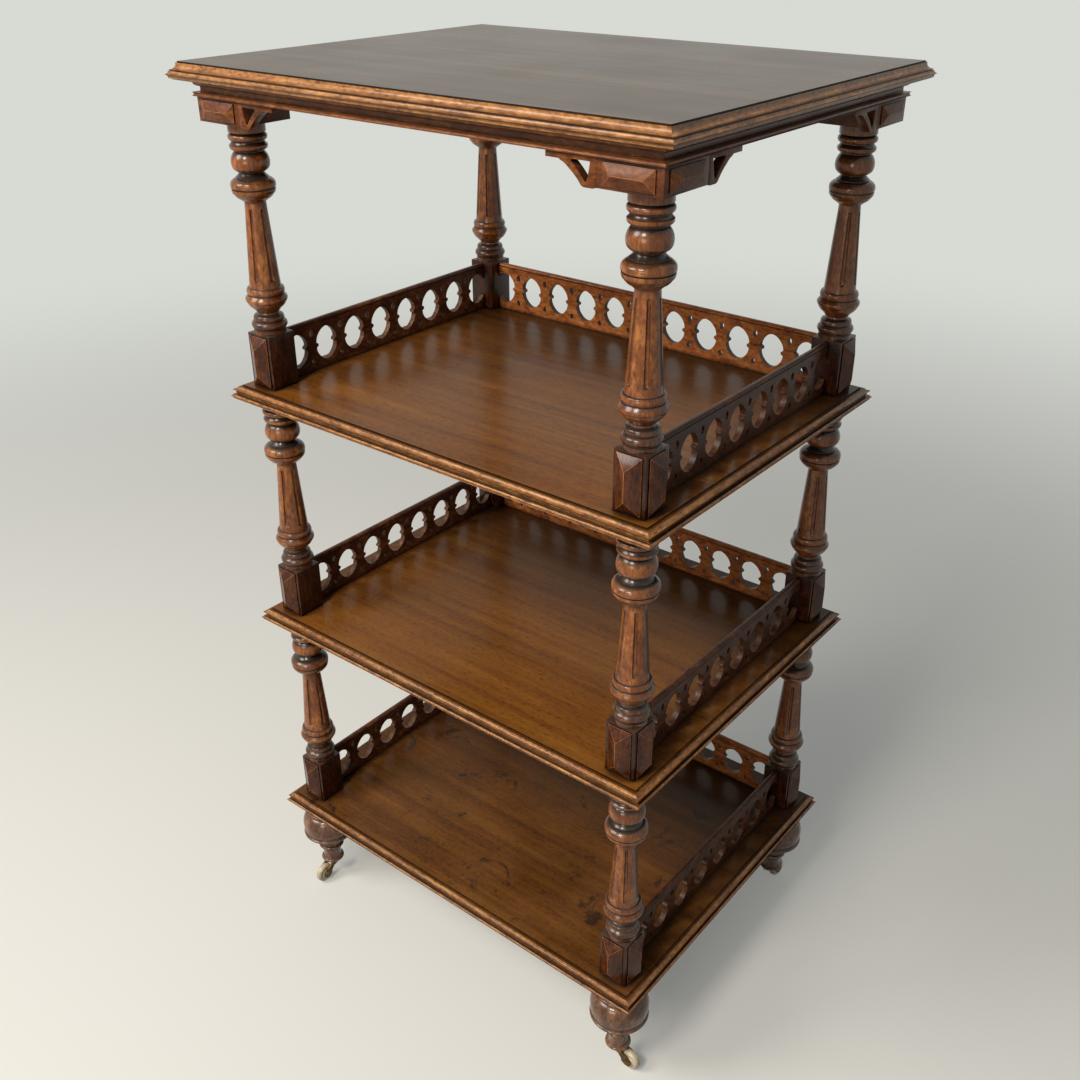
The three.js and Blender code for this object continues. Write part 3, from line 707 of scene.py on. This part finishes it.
def column_shape(height, ends_in_dowel, flute_turn):
    """A column standing on a shelf at height zero, its panels towards -X and -Y."""
    foot = PLINTH_HEIGHT + BASE_HEIGHT
    top = height - HEAD_HEIGHT
    shaft = top - foot
    rises = [FLUTE_MARGIN + run for run in FLUTE_END]
    between = [shaft * part / SHAFT_PARTS for part in range(2, SHAFT_PARTS - 1)]
    rises += between + [shaft - rise for rise in reversed(rises)]
    taper = [(SHAFT_FOOT + (SHAFT_TOP - SHAFT_FOOT) * rise / shaft, foot + rise) for rise in rises]
    if ends_in_dowel:
        end = [(DOWEL_RADIUS, height), (DOWEL_RADIUS, height + BLOCK_GRIP - DOWEL_CHAMFER),
               (DOWEL_RADIUS - DOWEL_CHAMFER, height + BLOCK_GRIP), (0, height + BLOCK_GRIP)]
    else:
        end = [(SOCKET_RADIUS, height), (SOCKET_RADIUS, height - SOCKET_DEPTH),
               (0, height - SOCKET_DEPTH)]
    profile = [(0, -DOWEL_REACH), (DOWEL_RADIUS - DOWEL_CHAMFER, -DOWEL_REACH),
               (DOWEL_RADIUS, DOWEL_CHAMFER - DOWEL_REACH)]
    profile += [(r, z + PLINTH_HEIGHT, *bow) for r, z, *bow in BASE_PROFILE]
    profile += taper + [(SHAFT_TOP, top)]
    profile += [(r, z + height, *bow) for r, z, *bow in HEAD_PROFILE] + end
    bm = bmesh.new()
    turn_on_lathe(bm, curved(profile), FLUTES * 2 * FLUTE_STEPS)
    cut_flutes(bm, foot, top)
    for face in bm.faces:
        if face.calc_center_median().z < PLINTH_HEIGHT + DARK_BASE:
            face.material_index = BASE_FINISH
    bmesh.ops.rotate(bm, verts=bm.verts, matrix=Matrix.Rotation(math.radians(flute_turn), 3, 'Z'))
    plinth = square_block(PLINTH_SIDE, PLINTH_HEIGHT)
    for face in plinth.faces:
        face.material_index = PLINTH_FINISH
    plant_panels(plinth, *PLINTH_PANEL, PLINTH_SIDE, PLINTH_HEIGHT)
    add_in(bm, plinth)
    return to_shape(bm)


turned_polish, base_polish = [
    polished_wood(name, 'Z', *tones, coat=0.35, recess_shade_reach=14, ledge_grime_and_shade=1)
    for name, tones in (("turned_polish", TURNED_TONES), ("base_polish", BASE_TONES))]
plinth_polish = polished_wood("plinth_polish", 'Z', *PLINTH_TONES, gloss=0.22, shine=0.24, coat=0.1)
plinth_panel_polish = polished_wood("plinth_panel_polish", 'Z', *PANEL_TONES, gloss=0.2, shine=0.24,
                                    coat=0.1)
rubbed_polish = polished_wood("rubbed_polish", 'Z', *RUBBED_TONES, gloss=0.42, shine=0.2)
column_finishes = [turned_polish, plinth_panel_polish, rubbed_polish, plinth_polish, base_polish]
for tier in TIERS:
    for post, facts in POSTS.items():
        name = f"column_{tier}_{post}"
        low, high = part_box(name)
        foot = foot_of(f"leg_{post}")
        foot.z = low.z + DOWEL_REACH * MM
        top_reach = BLOCK_GRIP if tier == "upper" else 0
        height = round((high.z - low.z) / MM - DOWEL_REACH - top_reach, 2)
        shape = column_shape(height, tier == "upper", facts["flute_turn"] - facts["turn"])
        place_piece(name, shape, Matrix.Translation(foot) @ upright_turn(facts["turn"]),
                    column_finishes, crease=TURNED_CREASE)


# Shelves: walnut boards joined edge to edge, with a torus over a thinner one worked along all four
# edges. Each corner is bored for the dowel that ties the posts above and below it together.
SHELF_OVERHANG = 39
SHELF_SECTION = [
    (-14, 17), (-11.5, 17), (-11.4, 15.3), (-10.4, 15.2), (-10.1, 15.4), (-7.4, 15.3, 0.2),
    (-2.2, 12, 1.3), (-5.2, 8, 1.1), (-5.8, 7.6), (-5.8, 6.8), (-2.2, 6.2, 0.3), (0, 4.2, 0.6),
    (-2.2, 1.2, 0.9), (-5.6, 0.4), (-5.6, 0), (-8, 0),
]
POST_PLACE = (257.5, 192.25)
HOLE_STEPS = 32
LEVEL_ENOUGH = 0.98
QUIRK_PLACE = (9.4, 11.6)


def mould_round(bm, half_x, half_y, section):
    """Runs a moulding round a rectangular board. A step is how far it stands out, and its height."""
    bmesh.ops.create_grid(bm, x_segments=1, y_segments=1, size=1)
    bmesh.ops.delete(bm, geom=bm.faces[:], context='FACES_ONLY')
    edges = bm.edges[:]
    for number, step in enumerate(section):
        if number:
            drawn = bmesh.ops.extrude_edge_only(bm, edges=edges)["geom"]
            edges = [part for part in drawn if isinstance(part, bmesh.types.BMEdge)]
        for v in {v for edge in edges for v in edge.verts}:
            v.co = (math.copysign(half_x + step.x, v.co.x),
                    math.copysign(half_y + step.x, v.co.y), step.z)


def finish_edges(shape, half_x, half_y):
    """Gives the mouldings of a board that run along X its second finish, those along Y its third, and
    the quirk between them and the flat its fourth: a near-black tone, painted shade in the groove."""
    middle = max(v.co.z for v in shape.vertices) / 2
    for face in shape.polygons:
        if abs(face.normal.z) < LEVEL_ENOUGH:
            face.material_index = 1 if abs(face.normal.y) > abs(face.normal.x) else 2
            inward = min(half_x * MM - abs(face.center.x), half_y * MM - abs(face.center.y))
            if face.center.z > middle and QUIRK_PLACE[0] * MM < inward < QUIRK_PLACE[1] * MM:
                face.material_index = 3
    return shape


def bored_board(half_x, half_y, section, holes):
    """A board with a moulded edge, and a hole right through it at each place."""
    bm = bmesh.new()
    path = curved(section, pieces=5)
    mould_round(bm, half_x, half_y, path)
    rings = []
    for z in (path[0].z, path[-1].z):
        rim = [edge for edge in bm.edges if len(edge.link_faces) < 2
               and all(abs(v.co.z - z) < MERGE_REACH for v in edge.verts)]
        for x, y in holes:
            ring = bmesh.ops.create_circle(bm, segments=HOLE_STEPS, radius=SOCKET_RADIUS,
                                           matrix=Matrix.Translation((x, y, z)))["verts"]
            edges = list({edge for v in ring for edge in v.link_edges})
            rings.append(edges)
            rim += edges
        bmesh.ops.triangle_fill(bm, use_beauty=True, edges=rim)
    for upper, lower in zip(rings[:len(holes)], rings[len(holes):]):
        bmesh.ops.bridge_loops(bm, edges=upper + lower)
    return finish_edges(to_shape(bm), half_x, half_y)


SHELF_TONES = ("925420", "B47026", "CA8634")
STAINED_TONES = ("784516", "985C1C", "AE722A")
EDGE_TONES = ("5A3014", "96602F", "CC965A")
# The quirk's tone is near-black: painted shade in the groove.
QUIRK_SHADE_TONES = ("140C08", "24150E", "3C2619")
BOARD_WIDTH = 0.17
shelf_facts = {"shine": 0.12, "figure_scale": 60, "mottle_share": 0.35, "long_figure": True,
               "recess_shade": 0.8, "recess_shade_reach": 9, "joint_pitch": BOARD_WIDTH, "raw_below": 0.9}
shelf_polish = polished_wood("shelf_polish", 'X', *SHELF_TONES, gloss=0.22, dust=0.03, painted_back_shade=0.6,
                             **shelf_facts)
stained_polish = polished_wood("stained_polish", 'X', *STAINED_TONES, gloss=0.26, dust=0.05,
                               painted_back_shade=0.55, stains=0.75, cloudiness=0.2, **shelf_facts)
edge_finishes = [polished_wood(f"edge_polish_{grain}", grain, *EDGE_TONES, coat=0.15, wear=0.45)
                 for grain in "XY"]
edge_finishes.append(polished_wood("quirk_painted_shade", 'X', *QUIRK_SHADE_TONES, gloss=0.5, shine=0.15, dust=0))
corners = [(x * POST_PLACE[0], y * POST_PLACE[1]) for x in (-1, 1) for y in (-1, 1)]
shelf_half = [reach + SHELF_OVERHANG for reach in POST_PLACE]
shelf_shape = bored_board(*shelf_half, SHELF_SECTION, corners)
for tier in TIERS:
    name = f"shelf_{tier}"
    board_polish = stained_polish if tier == "lower" else shelf_polish
    place_piece(name, shelf_shape, Matrix.Translation((0, 0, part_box(name)[0].z)),
                [board_polish, *edge_finishes])


# Galleries: thin walnut boards sawn through with a row of pointed, cusped openings and small eyes
# between them, and let in between the plinths at the back and both sides of every shelf.
GALLERY_THICKNESS = 7
BOARD_HEIGHT = 57.8
BEAD_SECTION = [
    (-2.6, 57), (2.6, 57), (2.6, 58.4), (3.8, 59), (3.8, 60.2, 0.2), (0, 62, 0.8),
    (-3.8, 60.2, 0.8), (-3.8, 59, 0.2), (-2.6, 58.4),
]
OVAL_PITCH = 45.5
OVAL_CENTRE = 30
OVAL_SIDE = [
    (0, -20.5), (11.3, -13.8, 1.3), (15.7, -3.1, 1.1), (12.4, -0.7, -0.3), (12.4, 0.7, 0.3),
    (15.7, 3.1, -0.3), (11.3, 13.8, 1.1), (0, 20.5, 1.3),
]
OVAL_HALF = 16.5
CUSP_HEIGHT = 4
END_MARGIN = 0.5
EYES = [
    (46, [(0, -4.4), (2.7, 0.6, 1.0), (0, 4.6, 1.1), (-2.7, 0.6, 1.1), (0, -4.4, 1.0)]),
    (12, [(0, -3.4), (2.5, 0.2, 0.9), (0, 3.6, 0.9), (-2.5, 0.2, 0.9), (0, -3.4, 0.9)]),
]
EYE_ROOM = 5.5
SAWN_TILT = 0.5
SAWN_ARRIS = 0.35
SAWN_EDGE_SHADE_TONES = ("2E1A10", "543420", "805A40")
# The back boards are painted lighter, as painted light, and the side boards darker, as painted shade.
GALLERIES = {
    "back": {"turn": 0, "first": 0, "wood": ('X', "603218", "9A5A2E", "C4824C")},
    "left": {"turn": 90, "first": OVAL_PITCH / 2, "wood": ('Y', "28130A", "502A16", "80502E")},
    "right": {"turn": 90, "first": OVAL_PITCH / 2, "wood": ('Y', "28130A", "502A16", "80502E")},
}


def oval_opening(middle):
    """The sides of the opening centred on middle: its right one going up, its left one going down."""
    right_side = [Vector((p.x + middle, 0, p.z + OVAL_CENTRE)) for p in curved(OVAL_SIDE, pieces=4)]
    left_side = [Vector((2 * middle - p.x, 0, p.z)) for p in reversed(right_side[1:-1])]
    return right_side, left_side


def open_end(middle, half):
    """What the board's right end leaves of the opening that it cuts, from the foot up to the head."""
    right_side, left_side = oval_opening(middle)
    below, above = [[p for p in right_side if p.x < half and way * (p.z - OVAL_CENTRE) > CUSP_HEIGHT]
                    for way in (-1, 1)]
    foot = Vector((half, 0, below[-1].z))
    head = Vector((half, 0, above[0].z))
    return [foot, *reversed(below), *reversed(left_side), *reversed(above), head]


def finish_sawn_faces(bm):
    """Gives the sawn edges of a board that lies across Y its second finish."""
    for face in bm.faces:
        face.material_index = int(abs(face.normal.y) < SAWN_TILT)


def gallery_shape(length, first):
    """A gallery board along X; first is how far its nearest opening is from the middle."""
    half = length / 2
    holes = []
    right_end = []
    reach = math.ceil(length / OVAL_PITCH)
    for number in range(-reach, reach + 1):
        middle = first + number * OVAL_PITCH
        if abs(middle) + OVAL_HALF < half - END_MARGIN:
            holes.append([p for side in oval_opening(middle) for p in side])
        elif 0 < middle < half:
            right_end = open_end(middle, half)
        between = middle + OVAL_PITCH / 2
        if abs(between) + EYE_ROOM < half:
            for centre, outline in EYES:
                path = curved(outline, pieces=3)[:-1]
                holes.append([Vector((p.x + between, 0, p.z + centre)) for p in path])
    left_end = [Vector((-p.x, 0, p.z)) for p in reversed(right_end)]
    outline = [Vector((-half, 0, 0)), Vector((half, 0, 0)), *right_end,
               Vector((half, 0, BOARD_HEIGHT)), Vector((-half, 0, BOARD_HEIGHT)), *left_end]
    board = bmesh.new()
    cut_out(board, outline, holes, GALLERY_THICKNESS)
    soften(board, SAWN_ARRIS, sharper_than=30, segments=1)
    finish_sawn_faces(board)
    bead = bmesh.new()
    cut_out(bead, curved(BEAD_SECTION, pieces=4), thickness=length)
    bmesh.ops.rotate(bead, verts=bead.verts, matrix=Matrix.Rotation(math.pi / 2, 3, 'Z'))
    add_in(board, bead)
    return to_shape(board)


# Sawn edges: unpolished and stained dark, their tone also darkened as painted shade on the walls inside
# the openings.
sawn_edge_with_painted_shade = polished_wood("sawn_edge_with_painted_shade", 'X', *SAWN_EDGE_SHADE_TONES, gloss=0.4, shine=0.25, dust=0, recess_shade=0.5)
for side, facts in GALLERIES.items():
    low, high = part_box(f"gallery_lower_{side}")
    shape = gallery_shape(max(high.x - low.x, high.y - low.y) / MM, facts["first"])
    polish = polished_wood(f"gallery_{side}_polish", *facts["wood"], gloss=0.3, shine=0.18,
                           dust=0.03)
    for tier in TIERS:
        name = f"gallery_{tier}_{side}"
        place_piece(name, shape, Matrix.Translation(foot_of(name)) @ upright_turn(facts["turn"]),
                    [polish, sawn_edge_with_painted_shade])


# Capital blocks: square walnut blocks over the posts, with a long hipped panel planted on each outward
# face. The upper dowels of the columns end inside them.
BLOCK_SIDE = 66
BLOCK_HEIGHT = 25
BLOCK_PANEL = (51, 19, 5)
BLOCK_TONES = ("33190C", "5E3218", "86502A")
BLOCK_PANEL_TONES = ("3C1D0D", "6A391B", "96602F")
block = square_block(BLOCK_SIDE, BLOCK_HEIGHT)
plant_panels(block, *BLOCK_PANEL, BLOCK_SIDE, BLOCK_HEIGHT)
block_shape = to_shape(block)
block_polish = polished_wood("block_polish", 'X', *BLOCK_TONES, gloss=0.32, shine=0.2)
panel_polish = polished_wood("panel_polish", 'X', *BLOCK_PANEL_TONES, gloss=0.36, shine=0.2)
for post, facts in POSTS.items():
    name = f"capital_block_{post}"
    across, back = facts["signs"]
    centre = (across * POST_PLACE[0] * MM, back * POST_PLACE[1] * MM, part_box(name)[0].z)
    place_piece(name, block_shape, Matrix.Translation(centre) @ upright_turn(facts["turn"]),
                [block_polish, panel_polish, rubbed_polish])


# Brackets: small walnut brackets glued to the inner sides of each block, under the frame, each sawn
# out with one three-cornered opening.
BRACKET_THICKNESS = 9
BRACKET_ARRIS = 0.4
BRACKET_OUTLINE = [
    (0, 0), (0, -25), (3.4, -26, 0.2), (10.4, -26), (15, -24.6, 0.5), (27.6, -12.4, -0.7),
    (35, -7.6, -0.4), (37.4, -6.2, 0.3), (38.4, -5.8), (52, -5.8), (52, 0),
]
BRACKET_HOLE = [
    (6, -4.8), (9.4, -20.6, 0.5), (11.6, -21, 0.8), (25, -7, -0.5), (24.4, -4.8, 0.8), (6, -4.8),
]
bracket = bmesh.new()
cut_out(bracket, curved(BRACKET_OUTLINE, pieces=5), [curved(BRACKET_HOLE, pieces=5)[:-1]],
        BRACKET_THICKNESS)
soften(bracket, BRACKET_ARRIS, sharper_than=30)
finish_sawn_faces(bracket)
bracket_shape = to_shape(bracket)
for post, facts in POSTS.items():
    across, back = facts["signs"]
    for way, turn in (("lengthwise", 0 if across < 0 else 180), ("crosswise", -back * 90)):
        name = f"bracket_{post}_{way}"
        low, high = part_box(name)
        middle = (low + high) / 2
        root = Vector((middle.x, middle.y, high.z))
        if way == "lengthwise":
            root.x = low.x if across < 0 else high.x
        else:
            root.y = high.y if back > 0 else low.y
        place_piece(name, bracket_shape, Matrix.Translation(root) @ upright_turn(turn),
                    [panel_polish, block_polish])


# The frame under the top: four lengths of one walnut moulding, a cove over a bead. They lie on the
# capital blocks, are mitred together at the corners, and carry the top.
RAIL_SECTION = [
    (-2.5, 15), (-2.5, 14.5), (-8, 9.4, -1.6), (-8, 5), (-7.4, 4.2), (-3, 4), (-1.4, 4),
    (-1.4, 0.2, 1.4), (-1.6, 0), (-71, 0), (-71, 15),
]
FRAME_HALF = (295.5, 230.25)
MITRE_GAP = 0.21
rail_polish, side_rail_polish = [polished_wood(f"{name}_polish", grain, *TURNED_TONES)
                                 for name, grain in (("rail", 'X'), ("side_rail", 'Y'))]
for side, turn in (("front", 0), ("right", 90), ("back", 180), ("left", -90)):
    lengthwise = side in ("front", "back")
    half_length, half_depth = FRAME_HALF if lengthwise else reversed(FRAME_HALF)
    rail = bmesh.new()
    ends = []
    for way in (-1, 1):
        ring = [rail.verts.new((way * (half_length + p.x - MITRE_GAP), -half_depth - p.x, p.z))
                for p in curved(RAIL_SECTION)]
        ends.append([rail.edges.new(pair) for pair in zip(ring, ring[1:] + ring[:1])])
    bmesh.ops.bridge_loops(rail, edges=ends[0] + ends[1])
    for end in ends:
        bmesh.ops.triangle_fill(rail, use_beauty=True, edges=end)
    name = f"under_rail_{side}"
    level = Matrix.Translation((0, 0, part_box(name)[0].z))
    place_piece(name, to_shape(rail), level @ upright_turn(turn),
                [rail_polish if lengthwise else side_rail_polish])


# The top: wide walnut boards joined edge to edge, their polish worn and greyed, with an ovolo and a
# torus worked round the edge. It lies on the frame.
TOP_HALF = (312.1, 246.85)
TOP_SECTION = [
    (-14, 19), (-10.8, 19), (-10.7, 17.5), (-9.7, 17.4), (-9.3, 17.6), (-3.6, 11, 2.2),
    (-4.7, 10.4), (-4.7, 9.7), (-3.4, 9.6), (0, 6.4, 0.9), (-3, 2.7, 1.0), (-5.2, 2.2), (-5.2, 1.7),
    (-16.2, 0, -0.6), (-19, 0),
]
TOP_TONES = ("462D18", "694724", "886138")
TOP_BOARD_WIDTH = 0.21
top_polish = polished_wood("top_polish", 'X', *TOP_TONES, shine=0.17, figure_scale=60, mottle_share=0.2,
                           long_figure=True, cloudiness=0.04, dust=0.1, joint_pitch=TOP_BOARD_WIDTH,
                           raw_below=0.9)
board = bmesh.new()
mould_round(board, *TOP_HALF, curved(TOP_SECTION))
rims = [edge for edge in board.edges if len(edge.link_faces) < 2]
bmesh.ops.holes_fill(board, edges=rims, sides=4)
top_shape = finish_edges(to_shape(board), *TOP_HALF)
place_piece("top_board", top_shape, Matrix.Translation((0, 0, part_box("top_board")[0].z)),
            [top_polish, *edge_finishes])
